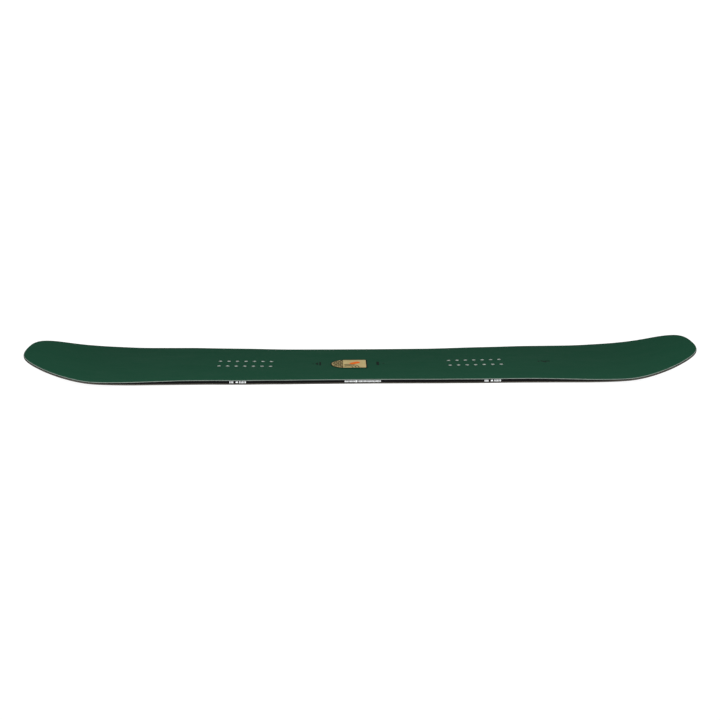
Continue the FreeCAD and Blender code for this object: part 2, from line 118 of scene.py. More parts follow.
def height_table(slopes):
    """Heights at close stations to a little beyond the nose, from the sine of the slope."""
    step, beyond = 0.5, 20
    s = np.arange(0, HALF_CONTACT + NOSE_LENGTH + beyond, step)
    sine = np.interp(s, [k[0] for k in slopes], [k[1] for k in slopes])
    slope = sine / np.sqrt(1 - sine ** 2)
    rise = np.concatenate([[0.0], np.cumsum((slope[1:] + slope[:-1]) / 2 * step)])
    return s, rise


TABLES = {(kind, end): height_table(slopes(end))
          for kind, slopes in (("base", base_slopes), ("deck", deck_slopes)) for end in (1, -1)}


def level(kind, x):
    """Height of the base ("base") or of the core's top ("deck") at x."""
    s = x - STANCE_X
    stations, rise = TABLES[kind, 1 if s > 0 else -1]
    foot = 0.0 if kind == "base" else CORE_BOTTOM + CORE_THICKNESS
    return foot + float(np.interp(abs(s), stations, rise))


def side_half_width(s):
    """Half the width between the tips: sidecut, eased at its ends, and a bulge at each foot."""
    waist, depth = WAIST_WIDTH / 2, (TIP_WIDTH - WAIST_WIDTH) / 2
    u = abs(s) / HALF_CONTACT
    overshoot = 2 / (SIDECUT_ROUNDING - 2)
    sidecut = depth * ((1 + overshoot) * u ** 2 - overshoot * u ** SIDECUT_ROUNDING)
    from_foot = (abs(s) - STANCE_WIDTH / 2) / (GRIP_LENGTH / 2)
    grip = GRIP_DEPTH * math.cos(from_foot * math.pi / 2) ** 2 if abs(from_foot) < 1 else 0
    return waist + sidecut + grip


def tip_stations(tip_length):
    """Shoulder, rounded end and end point of a tip's outline."""
    return [(HALF_CONTACT + SHOULDER_REACH * tip_length, SHOULDER_WIDTH / 2),
            (HALF_CONTACT + ROUND_REACH * tip_length, ROUND_WIDTH / 2),
            (HALF_CONTACT + tip_length, 0.0)]


def closed_spline(points, per_span):
    """Positions and directions on a smooth closed curve; per_span gives each span's steps."""
    points = np.array(points, float)
    ahead = np.roll(points, -1, axis=0)
    run = np.linalg.norm(ahead - points, axis=1)
    count = len(points)
    matrix, right = np.zeros((count, count)), np.zeros((count, 2))
    for i in range(count):
        before, after = run[i - 1], run[i]
        matrix[i, i - 1] += before
        matrix[i, i] += 2 * (before + after)
        matrix[i, (i + 1) % count] += after
        right[i] = 6 * ((ahead[i] - points[i]) / after - (points[i] - points[i - 1]) / before)
    bend = np.linalg.solve(matrix, right)
    places, directions = [], []
    for i in range(count):
        length, next_bend = run[i], bend[(i + 1) % count]
        steps = per_span(points[i], ahead[i])
        for step in range(steps):
            t = step / steps * length
            rest = length - t
            first = points[i] / length - bend[i] * length / 6
            second = ahead[i] / length - next_bend * length / 6
            places.append(bend[i] * rest ** 3 / (6 * length) + next_bend * t ** 3 / (6 * length)
                          + first * rest + second * t)
            way = (-bend[i] * rest ** 2 + next_bend * t ** 2) / (2 * length) - first + second
            directions.append(way / np.linalg.norm(way))
    return np.array(places), np.array(directions)


def board_outline():
    """Outline over the steel edges, from the tail's end round the heel side and back."""
    tail = tip_stations(TAIL_LENGTH)[::-1]
    nose = tip_stations(NOSE_LENGTH)
    stations = [HALF_CONTACT * (2 * step / SIDE_SPANS - 1) for step in range(SIDE_SPANS + 1)]
    heel = [(-s, y) for s, y in tail] + [(s, side_half_width(s)) for s in stations] + nose
    toe = [(s, -y) for s, y in reversed(heel[1:-1])]
    points = [(s + STANCE_X, y) for s, y in heel + toe]

    def per_span(a, b):
        in_tip = max(abs(a[0]), abs(b[0])) > HALF_CONTACT
        return math.ceil(math.dist(a, b) / (TIP_STEP if in_tip else SIDE_STEP))

    return closed_spline(points, per_span)


OUTLINE, OUTLINE_WAY = board_outline()
# the loop runs clockwise seen from above, so its right-hand side is inwards
INWARDS = np.stack([OUTLINE_WAY[:, 1], -OUTLINE_WAY[:, 0]], axis=1)
NOSE_INDEX = int(np.argmax(OUTLINE[:, 0]))
COUNT = len(OUTLINE)
HALVES = {"heel_side": range(0, NOSE_INDEX + 1), "toe_side": range(NOSE_INDEX, COUNT + 1)}


def rim_point(index, inset, kind, height):
    """Point of a rim: an inset from the outline and a height over the base or the core's top."""
    place = OUTLINE[index % COUNT] + INWARDS[index % COUNT] * inset
    return (place[0], place[1], level(kind, place[0]) + height)


# ---------------------------------------------------------------------------
# Meshes
# ---------------------------------------------------------------------------

def mesh(name, verts, faces, material, slot, replaces=(), sharp=28.0, merge=0.002):
    """Object on the root body from millimetre vertices; its sharp edges stay sharp."""
    shell = bmesh.new()
    made = [shell.verts.new([c * MM for c in v]) for v in verts]
    shades = []
    for entry in faces:
        face, shade = entry if isinstance(entry[1], str) else (entry, None)
        try:
            shades.append((shell.faces.new([made[i] for i in face]), shade))
        except ValueError:
            continue
    slots = [material] if isinstance(material, bpy.types.Material) else list(material.values())
    names = [] if isinstance(material, bpy.types.Material) else list(material)
    for face, shade in shades:
        face.material_index = names.index(shade) if shade in names else 0
        face.smooth = True
    bmesh.ops.remove_doubles(shell, verts=shell.verts, dist=merge * MM)
    bmesh.ops.dissolve_degenerate(shell, edges=shell.edges, dist=merge * MM)
    bmesh.ops.recalc_face_normals(shell, faces=shell.faces)
    limit = math.radians(sharp)
    for edge in shell.edges:
        if len(edge.link_faces) == 2:
            edge.smooth = edge.calc_face_angle(0) < limit
    data = bpy.data.meshes.new(name)
    shell.to_mesh(data)
    shell.free()
    for item in slots:
        data.materials.append(item)
    piece = bpy.data.objects.new(name, data)
    bpy.context.scene.collection.objects.link(piece)
    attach(piece, "root")
    if replaces:
        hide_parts(*replaces)
    return piece


def bridge(faces, first, second, shade="", closed=False):
    """Quads between two rows of vertex numbers."""
    last = len(first) if closed else len(first) - 1
    for i in range(last):
        j = (i + 1) % len(first)
        faces.append(((first[i], first[j], second[j], second[i]), shade))


def sweep(indices, section):
    """Solid strip along the outline: section is a closed list of (inset, kind, height)."""
    verts, faces, rows = [], [], []
    for inset, kind, height in section:
        rows.append(range(len(verts), len(verts) + len(indices)))
        verts += [rim_point(i, inset, kind, height) for i in indices]
    for number, row in enumerate(rows):
        bridge(faces, row, rows[(number + 1) % len(rows)])
    faces.append(([row[0] for row in rows], ""))
    faces.append(([row[-1] for row in rows], ""))
    return verts, faces


def triangulate(loop, holes, spacing):
    """Triangles of a plan area, with inner points so that its height can follow the board."""
    loops = [[Vector(p) for p in loop]] + [[Vector(p) for p in hole] for hole in holes]
    points, edges = [], []
    for ring in loops:
        start = len(points)
        points += ring
        edges += [(start + i, start + (i + 1) % len(ring)) for i in range(len(ring))]
    border = np.array(loop)
    low, high = border.min(0), border.max(0)
    centres = [sum(hole, Vector((0, 0))) / len(hole) for hole in loops[1:]]
    radius = (loops[1][0] - centres[0]).length if centres else 0
    clear = radius * 1.4
    for x in np.arange(low[0] + spacing[0] / 2, high[0], spacing[0]):
        crossing = crossings(border, x)
        for start, end in zip(crossing[::2], crossing[1::2]):
            steps = max(int((end - start) / spacing[1]), 1)
            for step in range(1, steps):
                point = Vector((x, start + (end - start) * step / steps))
                if all((point - centre).length > clear for centre in centres):
                    points.append(point)
    outer = list(range(len(loop)))
    found, _, triangles, *_ = delaunay_2d_cdt(points, edges, [outer], 1, 1e-6)
    kept = []
    for triangle in triangles:
        middle = sum((found[i] for i in triangle), Vector((0, 0))) / len(triangle)
        if all((middle - centre).length > radius for centre in centres):
            kept.append(triangle)
    return found, kept


def crossings(border, x):
    """Where the line at x cuts a closed outline, from the toe side to the heel side."""
    ahead = np.roll(border, -1, axis=0)
    cut = (border[:, 0] > x) != (ahead[:, 0] > x)
    share = (x - border[cut, 0]) / (ahead[cut, 0] - border[cut, 0])
    return sorted(border[cut, 1] + share * (ahead[cut, 1] - border[cut, 1]))


def circle(centre, radius, sides):
    return [(centre[0] + radius * math.cos(2 * math.pi * i / sides),
             centre[1] + radius * math.sin(2 * math.pi * i / sides)) for i in range(sides)]


PLATE_SPACING = (9.0, 16.0)              # inner points of a board layer


def plate(rows, cap_kinds, holes=(), shades=None):
    """Closed plate: rows are rim loops of 3-D points from the top to the underside.
    cap_kinds gives (kind, height) of the top and the bottom; holes are plan loops."""
    verts, faces, numbers = [], [], []
    for row in rows:
        numbers.append(range(len(verts), len(verts) + len(row)))
        verts += row
    for number in range(len(rows) - 1):
        shade = shades[number] if shades else ""
        bridge(faces, numbers[number], numbers[number + 1], shade, closed=True)
    for row, (kind, height) in zip((rows[0], rows[-1]), cap_kinds):
        found, triangles = triangulate([p[:2] for p in row], holes, PLATE_SPACING)
        start = len(verts)
        verts += [(p.x, p.y, level(kind, p.x) + height) for p in found]
        faces += [([start + i for i in triangle], "") for triangle in triangles]
    (top_kind, top), (low_kind, low) = cap_kinds
    for hole in holes:
        start, sides = len(verts), len(hole)
        verts += [(x, y, level(top_kind, x) + top) for x, y in hole]
        verts += [(x, y, level(low_kind, x) + low) for x, y in hole]
        bridge(faces, range(start, start + sides), range(start + sides, start + 2 * sides),
               closed=True)
    return verts, faces


def rim_row(inset, kind, height):
    return [rim_point(i, inset, kind, height) for i in range(COUNT)]


# ---------------------------------------------------------------------------
# Materials
# ---------------------------------------------------------------------------

class Shader:
    """Principled material with small helpers for its nodes."""

    def __init__(self, name, colour, roughness, metallic=0.0, specular=0.5):
        self.material = bpy.data.materials.new(name)
        self.material.use_nodes = True
        self.tree = self.material.node_tree
        self.surface = self.tree.nodes["Principled BSDF"]
        self.surface.inputs["Base Color"].default_value = (*colour, 1)
        self.surface.inputs["Roughness"].default_value = roughness
        self.surface.inputs["Metallic"].default_value = metallic
        self.surface.inputs["Specular IOR Level"].default_value = specular
        self.place = self.node("ShaderNodeTexCoord").outputs["Object"]
        self.height = None

    def node(self, kind, **settings):
        item = self.tree.nodes.new(kind)
        for key, value in settings.items():
            setattr(item, key, value)
        return item

    def link(self, source, target):
        self.tree.links.new(source, target)

    def stretched(self, scale):
        mapping = self.node("ShaderNodeMapping")
        mapping.inputs["Scale"].default_value = scale
        self.link(self.place, mapping.inputs["Vector"])
        return mapping.outputs["Vector"]

    def noise(self, scale, detail=4.0, roughness=0.6, stretch=None):
        item = self.node("ShaderNodeTexNoise")
        item.inputs["Scale"].default_value = scale
        item.inputs["Detail"].default_value = detail
        item.inputs["Roughness"].default_value = roughness
        self.link(self.stretched(stretch) if stretch else self.place, item.inputs["Vector"])
        return item.outputs["Fac"]

    def cells(self, scale, feature="F1"):
        item = self.node("ShaderNodeTexVoronoi", feature=feature)
        item.inputs["Scale"].default_value = scale
        self.link(self.place, item.inputs["Vector"])
        return item.outputs["Distance"]

    def spread(self, value, low, high, to_low, to_high):
        item = self.node("ShaderNodeMapRange")
        for key, number in zip(("From Min", "From Max", "To Min", "To Max"),
                               (low, high, to_low, to_high)):
            item.inputs[key].default_value = number
        self.link(value, item.inputs["Value"])
        return item.outputs["Result"]

    def ramp(self, value, stops):
        item = self.node("ShaderNodeValToRGB")
        while len(item.color_ramp.elements) < len(stops):
            item.color_ramp.elements.new(0.5)
        for element, (position, colour) in zip(item.color_ramp.elements, stops):
            element.position = position
            element.color = (*colour, 1)
        self.link(value, item.inputs["Fac"])
        return item.outputs["Color"]

    def colour(self, value):
        self.link(value, self.surface.inputs["Base Color"])

    def rough(self, value):
        self.link(value, self.surface.inputs["Roughness"])

    def bump(self, value, strength, distance):
        item = self.node("ShaderNodeBump")
        item.inputs["Strength"].default_value = strength
        item.inputs["Distance"].default_value = distance
        self.link(value, item.inputs["Height"])
        if self.height:
            self.link(self.height, item.inputs["Normal"])
        self.height = item.outputs["Normal"]
        self.link(self.height, self.surface.inputs["Normal"])


def mixed(low, high, count=2):
    """Ramp stops from one colour to another."""
    return [(0.25 + 0.5 * i / (count - 1),
             tuple(a + (b - a) * i / (count - 1) for a, b in zip(low, high))) for i in range(count)]


def topsheet_material():
    m = Shader("topsheet_green", (0.015, 0.080, 0.044), 0.62, specular=0.01)
    m.colour(m.ramp(m.noise(5.0, 3.0), mixed((0.0140, 0.0775, 0.0425), (0.0155, 0.0825, 0.0455))))
    m.rough(m.spread(m.noise(38.0, 5.0, 0.65, (0.3, 1.0, 1.0)), 0.3, 0.7, 0.56, 0.70))
    m.bump(m.noise(900.0, 2.0, 0.5), 0.16, 0.0002)
    m.bump(m.cells(1500.0), 0.05, 0.0001)
    return m.material


def cut_edge_material():
    m = Shader("cut_laminate", (0.22, 0.27, 0.245), 0.5, specular=0.1)
    grain = m.noise(160.0, 5.0, 0.7, (0.15, 1.0, 2.0))
    m.colour(m.ramp(grain, mixed((0.175, 0.220, 0.195), (0.265, 0.310, 0.280), 3)))
    m.rough(m.spread(grain, 0.3, 0.7, 0.38, 0.58))
    m.bump(m.noise(420.0, 3.0, 0.6, (0.08, 1.0, 1.0)), 0.25, 0.0001)
    return m.material


def amber_laminate_material():
    m = Shader("glass_and_resin", (0.10, 0.09, 0.05), 0.4, specular=0.5)
    weave = m.noise(700.0, 3.0, 0.6, (0.4, 0.4, 2.0))
    m.colour(m.ramp(weave, mixed((0.065, 0.060, 0.036), (0.14, 0.125, 0.075), 3)))
    m.rough(m.spread(weave, 0.3, 0.7, 0.32, 0.5))
    m.bump(weave, 0.2, 0.0001)
    return m.material


def sidewall_material(name, shade):
    m = Shader(name, (shade,) * 3, 0.5, specular=0.05)
    mill = m.noise(240.0, 4.0, 0.65, (0.05, 0.4, 2.4))
    m.colour(m.ramp(mill, mixed((shade * 0.7, shade * 0.7, shade * 0.78),
                                (shade * 1.5, shade * 1.5, shade * 1.6), 3)))
    m.rough(m.spread(mill, 0.3, 0.7, 0.34, 0.54))
    m.bump(mill, 0.3, 0.00012)
    return m.material


def edge_steel_material():
    m = Shader("edge_steel", (0.28, 0.265, 0.245), 0.36, metallic=1.0)
    grind = m.noise(520.0, 5.0, 0.7, (0.03, 0.6, 3.0))
    patches = m.noise(9.0, 4.0, 0.6)
    # painted dark reflection: the steel's colour is set far darker than bare steel, standing in for
    # dark surroundings mirrored in the edge; the patches only vary that tone at random
    m.colour(m.ramp(patches, mixed((0.060, 0.055, 0.050), (0.125, 0.118, 0.110), 3)))
    m.rough(m.spread(grind, 0.3, 0.7, 0.24, 0.42))
    m.bump(grind, 0.35, 0.00008)
    return m.material


def base_material():
    m = Shader("sintered_base", (0.012, 0.012, 0.013), 0.36, specular=0.5)
    stone = m.noise(60.0, 3.0, 0.6, (0.02, 26.0, 1.0))
    m.colour(m.ramp(m.noise(3.0, 5.0), mixed((0.010, 0.010, 0.011), (0.017, 0.017, 0.018))))
    m.rough(m.spread(stone, 0.3, 0.7, 0.30, 0.45))
    m.bump(stone, 0.4, 0.00006)
    return m.material


def insert_material():
    m = Shader("stainless_insert", (0.66, 0.70, 0.66), 0.45, metallic=1.0)
    turned = m.noise(1800.0, 3.0, 0.6)
    m.colour(m.ramp(turned, mixed((0.60, 0.65, 0.61), (0.74, 0.79, 0.75))))
    m.rough(m.spread(turned, 0.3, 0.7, 0.4, 0.55))
    m.bump(turned, 0.15, 0.00005)
    return m.material


def rubber_material(name, low, high, roughness, grain, depth):
    m = Shader(name, low, roughness, specular=0.02)
    stain = m.noise(70.0, 5.0, 0.65)
    m.colour(m.ramp(stain, mixed(low, high, 3)))
    m.rough(m.spread(stain, 0.3, 0.7, roughness - 0.06, roughness + 0.06))
    m.bump(m.cells(grain, "SMOOTH_F1"), 0.35, depth)
    m.bump(m.noise(2600.0, 2.0), 0.2, 0.00004)
    return m.material


def wood_material():
    m = Shader("core_wood", (0.55, 0.40, 0.24), 0.6, specular=0.35)
    rings = m.noise(26.0, 6.0, 0.65, (0.06, 1.0, 1.0))
    m.colour(m.ramp(rings, mixed((0.42, 0.28, 0.15), (0.66, 0.50, 0.32), 3)))
    m.rough(m.spread(rings, 0.3, 0.7, 0.5, 0.7))
    m.bump(m.noise(320.0, 4.0, 0.6, (0.05, 1.0, 1.0)), 0.3, 0.0002)
    return m.material


def print_material(name, shade):
    m = Shader(name, shade, 0.55, specular=0.01)
    ink = m.noise(500.0, 3.0)
    m.colour(m.ramp(ink, mixed([c * 0.85 for c in shade], [c * 1.15 for c in shade])))
    m.rough(m.spread(ink, 0.3, 0.7, 0.42, 0.54))
    m.bump(ink, 0.12, 0.00005)
    return m.material


GREEN = topsheet_material()
CUT_EDGE = cut_edge_material()
RESIN = amber_laminate_material()
SIDEWALL = sidewall_material("sidewall_abs", 0.003)
SPACER = sidewall_material("spacer_abs", 0.004)
STEEL = edge_steel_material()
BASE = base_material()
INSERT = insert_material()
FOIL = rubber_material("rubber_foil", (0.012, 0.012, 0.012), (0.022, 0.022, 0.022), 0.6, 900.0, 0.00005)
RIM_RUBBER = rubber_material("rim_rubber", (0.0030, 0.0026, 0.0024), (0.0060, 0.0052, 0.0048),
                             0.55, 1400.0, 0.00008)
PAD_RUBBER = rubber_material("pad_rubber", (0.60, 0.46, 0.20), (0.74, 0.60, 0.29), 0.6, 1300.0, 0.00012)
ACCENT_RUBBER = rubber_material("accent_rubber", (0.95, 0.135, 0.0015), (1.0, 0.19, 0.003),
                                0.45, 1500.0, 0.00006)
ADHESIVE = rubber_material("adhesive_film", (0.42, 0.40, 0.35), (0.52, 0.50, 0.45), 0.7, 1100.0, 0.0001)
WOOD = wood_material()
BLACK_PRINT = print_material("deck_print", (0.0030, 0.0120, 0.0075))
WHITE_PRINT = print_material("sidewall_print", (0.72, 0.74, 0.75))


# ---------------------------------------------------------------------------
# Base, edges, foils and laminates
# ---------------------------------------------------------------------------

def make_base():
    seam, corner = 0.02, 0.03
    rows = [rim_row(EDGE_WIDTH + seam, "base", BASE_TOP), rim_row(EDGE_WIDTH + seam, "base", corner),
            rim_row(EDGE_WIDTH + seam + corner, "base", 0.0)]
    verts, faces = plate(rows, (("base", BASE_TOP), ("base", 0.0)))
    mesh("running_base", verts, faces, BASE, "base", ["base_sheet"])


def make_edges():
    bevel = 0.12
    section = [(bevel, "base", 0.0), (0.0, "base", bevel), (0.0, "base", EDGE_TOP - bevel),
               (bevel, "base", EDGE_TOP), (TANG_INSET, "base", EDGE_TOP),
               (TANG_INSET, "base", BASE_TOP), (EDGE_WIDTH, "base", BASE_TOP),
               (EDGE_WIDTH, "base", bevel), (EDGE_WIDTH - bevel / 2, "base", 0.0)]
    foil = [(SIDE_INSET, "base", EDGE_TOP), (SIDE_INSET, "base", DAMPER_TOP),
            (TANG_INSET, "base", DAMPER_TOP), (TANG_INSET, "base", EDGE_TOP)]
    for side, indices in HALVES.items():
        verts, faces = sweep(indices, section)
        mesh("edge_" + side, verts, faces, STEEL, "edge_steel", ["steel_edge_" + side])
        verts, faces = sweep(indices, foil)
        mesh("foil_" + side, verts, faces, FOIL, "damper_rubber", ["edge_damper_" + side])


def make_bottom_laminate():
    rows = [rim_row(SIDE_INSET, "base", CORE_BOTTOM), rim_row(SIDE_INSET, "base", DAMPER_TOP),
            rim_row(TANG_INSET, "base", DAMPER_TOP), rim_row(TANG_INSET, "base", BASE_TOP)]
    verts, faces = plate(rows, (("base", CORE_BOTTOM), ("base", BASE_TOP)))
    mesh("glass_below", verts, faces, RESIN, "glass_laminate", ["bottom_laminate"])


# the cut rim slopes from the sidewall's shoulder up to the topsheet
SHOULDER = 0.35
BEVEL_FOOT, BEVEL_MIDDLE = 0.72, 1.30


def insert_places():
    columns = [(column - 3) * INSERT_PITCH for column in range(7)]
    return {foot: [(foot * STANCE_WIDTH / 2 + column + STANCE_X, side * INSERT_ROW)
                   for column in columns for side in (-1, 1)] for foot in (1, -1)}


INSERTS = insert_places()
INSERT_SIDES = 32
HOLES = [circle(place, HOLE_RADIUS, INSERT_SIDES) for foot in (1, -1) for place in INSERTS[foot]]


def make_top_layers():
    rows = [rim_row(TOP_INSET + 0.30, "deck", DECK), rim_row(TOP_INSET + 0.12, "deck", DECK - 0.02),
            rim_row(TOP_INSET, "deck", DECK - 0.09), rim_row(BEVEL_MIDDLE, "deck", LAMINATE)]
    shades = ["green", "green", "cut"]
    verts, faces = plate(rows, (("deck", DECK), ("deck", LAMINATE)), HOLES, shades=shades)
    mesh("deck_topsheet", verts, faces, {"green": GREEN, "cut": CUT_EDGE}, "topsheet", ["topsheet"])
    rows = [rim_row(BEVEL_MIDDLE, "deck", LAMINATE), rim_row(BEVEL_FOOT, "deck", 0.0)]
    verts, faces = plate(rows, (("deck", LAMINATE), ("deck", 0.0)), HOLES)
    mesh("glass_above", verts, faces, CUT_EDGE, "glass_laminate", ["top_laminate"])


def wall_inset(share):
    """The sidewall leans in a little from its foot (0) to its shoulder (1)."""
    return SIDE_INSET + 0.15 * share


def make_sidewalls():
    for side, indices in HALVES.items():
        inside = [i for i in indices
                  if abs(OUTLINE[i % COUNT][0] - STANCE_X) <= CORE_HALF_LENGTH]
        section = [(wall_inset(0), "base", CORE_BOTTOM), (wall_inset(1), "deck", -SHOULDER),
                   (BEVEL_FOOT, "deck", 0.0), (CORE_INSET, "deck", 0.0),
                   (CORE_INSET, "base", CORE_BOTTOM)]
        verts, faces = sweep(inside, section)
        mesh("abs_wall_" + side, verts, faces, SIDEWALL, "sidewall_plastic", ["sidewall_" + side])


def make_spacers():
    for name, end in (("nose_spacer", 1), ("tail_spacer", -1)):
        loop = [i for i in range(COUNT) if end * (OUTLINE[i][0] - STANCE_X) >= CORE_HALF_LENGTH]
        if end == -1:
            split = next(k for k in range(1, len(loop)) if loop[k] - loop[k - 1] > 1)
            loop = loop[split:] + loop[:split]
        rows = [[rim_point(i, inset, kind, height) for i in loop] for inset, kind, height in
                ((BEVEL_FOOT, "deck", 0.0), (wall_inset(1), "deck", -SHOULDER),
                 (wall_inset(0), "base", CORE_BOTTOM))]
        verts, faces = plate(rows, (("deck", 0.0), ("base", CORE_BOTTOM)))
        mesh("abs_" + name, verts, faces, SPACER, "spacer_plastic", [name])


# ---------------------------------------------------------------------------
# Threaded inserts
# ---------------------------------------------------------------------------

def insert_mesh(place):
    """One insert: flange, barrel with a chamfered mouth, threaded blind bore."""
    sides, per_turn = INSERT_SIDES, 6
    countersink, lead_in = 0.4, 0.05
    floor = level("base", place[0]) + CORE_BOTTOM
    mouth = level("deck", place[0]) + DECK
    tilt = (level("deck", place[0] + 1) - level("deck", place[0] - 1)) / 2
    outside = [(FLANGE_RADIUS, floor), (FLANGE_RADIUS, floor + FLANGE_THICKNESS),
               (BARREL_RADIUS, floor + FLANGE_THICKNESS), (BARREL_RADIUS, mouth - 0.18),
               (BARREL_RADIUS - 0.12, mouth - 0.03), (BARREL_RADIUS - 0.3, mouth),
               (THREAD_RADIUS + 0.35, mouth), (THREAD_RADIUS, mouth - countersink)]
    verts, faces, rows = [], [], []

    def ring(radius_at, height_at):
        rows.append(range(len(verts), len(verts) + sides))
        for i in range(sides):
            turn = 2 * math.pi * i / sides
            radius, height = radius_at(i), height_at(i)
            x, y = radius * math.cos(turn), radius * math.sin(turn)
            lean = tilt * x * min(max((height - floor) / (mouth - floor), 0), 1)
            verts.append((place[0] + x, place[1] + y, height + lean))

    for radius, height in outside:
        ring(lambda i: radius, lambda i: height)
    turns = int((mouth - countersink - floor - INSERT_FLOOR - THREAD_PITCH) / THREAD_PITCH)
    start = mouth - countersink - lead_in
    depth = THREAD_RADIUS - BORE_RADIUS
    for step in range(turns * per_turn + 1):
        def thread_radius(i):
            phase = (step / per_turn + i / sides) % 1
            return BORE_RADIUS + depth * abs(2 * phase - 1)
        ring(thread_radius, lambda i: start - step / per_turn * THREAD_PITCH)
    bottom = floor + INSERT_FLOOR
    ring(lambda i: BORE_RADIUS, lambda i: start - (turns + 0.4) * THREAD_PITCH)
    ring(lambda i: BORE_RADIUS, lambda i: bottom + 0.3)
    ring(lambda i: BORE_RADIUS * 0.5, lambda i: bottom)
    for first, second in zip(rows, rows[1:]):
        bridge(faces, first, second, closed=True)
    faces.append((list(rows[0]), ""))
    faces.append((list(rows[-1]), ""))
    return verts, faces


def make_inserts():
    for name, foot in (("front_foot_inserts", 1), ("rear_foot_inserts", -1)):
        verts, faces = [], []
        for place in INSERTS[foot]:
            start = len(verts)
            some_verts, some_faces = insert_mesh(place)
            verts += some_verts
            faces += [([start + i for i in face], shade) for face, shade in some_faces]
        mesh("threaded_" + name, verts, faces, INSERT, "insert_steel", [name], 32.0, 0.0005)


# ---------------------------------------------------------------------------
# Stomp pad
# ---------------------------------------------------------------------------

PAD_X = STANCE_X - 27.0
PAD_LENGTH, PAD_WIDTH, PAD_ARCH = 85.0, 68.0, 30.0
PAD_ASIDE = 5.0                          # to the toe side
PAD_FLOOR = CORE_BOTTOM + CORE_THICKNESS + DECK
ADHESIVE_THICKNESS, PAD_THICKNESS = 0.2, 1.0
PAD_LOW = PAD_FLOOR + ADHESIVE_THICKNESS
PAD_TOP = PAD_LOW + PAD_THICKNESS
PAD_RIM = 2.4
RIB_WIDTH, RIB_HEIGHT, RIB_PITCH, RIB_MARGIN, RIB_ANGLE = 2.2, 0.5, 7.2, 1.0, 55.0
RIB_ZONE = 26.0
ARCH_COUNT, ARCH_RADIUS, ARCH_PITCH, ARCH_OFFSET = 3, 11.0, 7.0, 2.0
ACCENT_LENGTH, ACCENT_WIDTH, ACCENT_TURN = 27.0, 14.0, 35.0
ACCENT_AHEAD, ACCENT_ASIDE = 14.0, 6.0   # from the pad's middle
CORNER, LEAST_CORNER = 3.0, 0.4
RELIEF_FOOT = PAD_TOP - 0.02             # ribs and capsule start just inside the face
PAD_SPACING = (3.0, 3.0)                 # inner points of a pad piece


def pad_outline(inset):
    """Plan loop of the pad: square to the nose with rounded corners, arched to the tail."""
    half_width = PAD_WIDTH / 2 - inset
    front, arch_end = PAD_X + PAD_LENGTH / 2 - inset, PAD_X - PAD_LENGTH / 2 + inset
    spring = PAD_X - PAD_LENGTH / 2 + PAD_ARCH
    sagitta = spring - arch_end
    radius = (half_width ** 2 + sagitta ** 2) / (2 * sagitta)
    middle = arch_end + radius
    half_turn = math.atan2(half_width, middle - spring)
    corner = max(CORNER - inset, LEAST_CORNER)
    loop = []
    arch_steps, corner_steps = 40, 8
    for step in range(arch_steps + 1):
        turn = half_turn * (1 - 2 * step / arch_steps)
        loop.append((middle - radius * math.cos(turn), radius * math.sin(turn)))
    for side, first in ((-1, -90.0), (1, 0.0)):
        for step in range(corner_steps + 1):
            turn = math.radians(first + 90.0 * step / corner_steps)
            loop.append((front - corner + corner * math.cos(turn),
                         side * (half_width - corner) + corner * math.sin(turn)))
    return loop


def pad_mesh(name, verts, *rest, **options):
    """Piece of the pad, moved to its place across the board."""
    return mesh(name, [(x, y - PAD_ASIDE, z) for x, y, z in verts], *rest, **options)


def pad_row(inset, height):
    return [(x, y, height) for x, y in pad_outline(inset)]


def flat_plate(rows, crown=0.0):
    """Plate of the pad; a crown lifts its middle a little."""
    verts, faces, numbers = [], [], []
    for row in rows:
        numbers.append(range(len(verts), len(verts) + len(row)))
        verts += row
    for first, second in zip(numbers, numbers[1:]):
        bridge(faces, first, second, closed=True)
    for row, rise in ((rows[0], crown), (rows[-1], 0.0)):
        height = row[0][2]
        loop = np.array([p[:2] for p in row])
        low, high = loop.min(0), loop.max(0)
        found, triangles = triangulate(loop, (), PAD_SPACING)
        start = len(verts)
        for p in found:
            u = (2 * p.x - low[0] - high[0]) / (high[0] - low[0])
            v = (2 * p.y - low[1] - high[1]) / (high[1] - low[1])
            lift = rise * max(1 - u ** 6, 0) * max(1 - v ** 6, 0)
            verts.append((p.x, p.y, height + lift))
        faces += [([start + i for i in triangle], "") for triangle in triangles]
    return verts, faces


def ribbon(path, width, height, foot):
    """Rounded rib along a plan path, with half-round ends."""
    path = np.array(path, float)
    way = np.gradient(path, axis=0)
    way /= np.linalg.norm(way, axis=1)[:, None]
    aside = np.stack([-way[:, 1], way[:, 0]], axis=1)
    stations = [(path[i], aside[i], 1.0) for i in range(len(path))]
    end_steps = 5
    for end, sign in ((0, -1), (-1, 1)):
        extra = []
        for step in range(1, end_steps + 1):
            turn = math.pi / 2 * step / end_steps
            place = path[end] + way[end] * sign * math.sin(turn) * width / 2
            extra.append((place, aside[end], max(math.cos(turn), 0.02)))
        stations = list(reversed(extra)) + stations if end == 0 else stations + extra
    profile = [(-0.5, 0.0), (-0.5, 0.45), (-0.42, 0.8), (-0.25, 0.97), (0.0, 1.0),
               (0.25, 0.97), (0.42, 0.8), (0.5, 0.45), (0.5, 0.0)]
    verts, faces, rows = [], [], []
    for place, side, scale in stations:
        rows.append(range(len(verts), len(verts) + len(profile)))
        for across, up in profile:
            spot = place + side * across * width * scale
            verts.append((spot[0], spot[1], foot + up * height * (0.55 + 0.45 * scale)))
    for first, second in zip(rows, rows[1:]):
        bridge(faces, first, second, closed=True)
    faces.append((list(rows[0]), ""))
    faces.append((list(rows[-1]), ""))
    return verts, faces


def inside_field(x, y, margin):
    """True where a rib's middle line keeps the margin from the pad's rim."""
    border = np.array(pad_outline(PAD_RIM + margin))
    cut = crossings(border, x)
    return len(cut) == 2 and cut[0] < y < cut[1]


def clipped(points, keep):
    """Longest run of points that stay where keep allows."""
    runs, run = [], []
    for point in points:
        if keep(*point):
            run.append(point)
        elif run:
            runs.append(run)
            run = []
    runs.append(run)
    return max(runs, key=len)


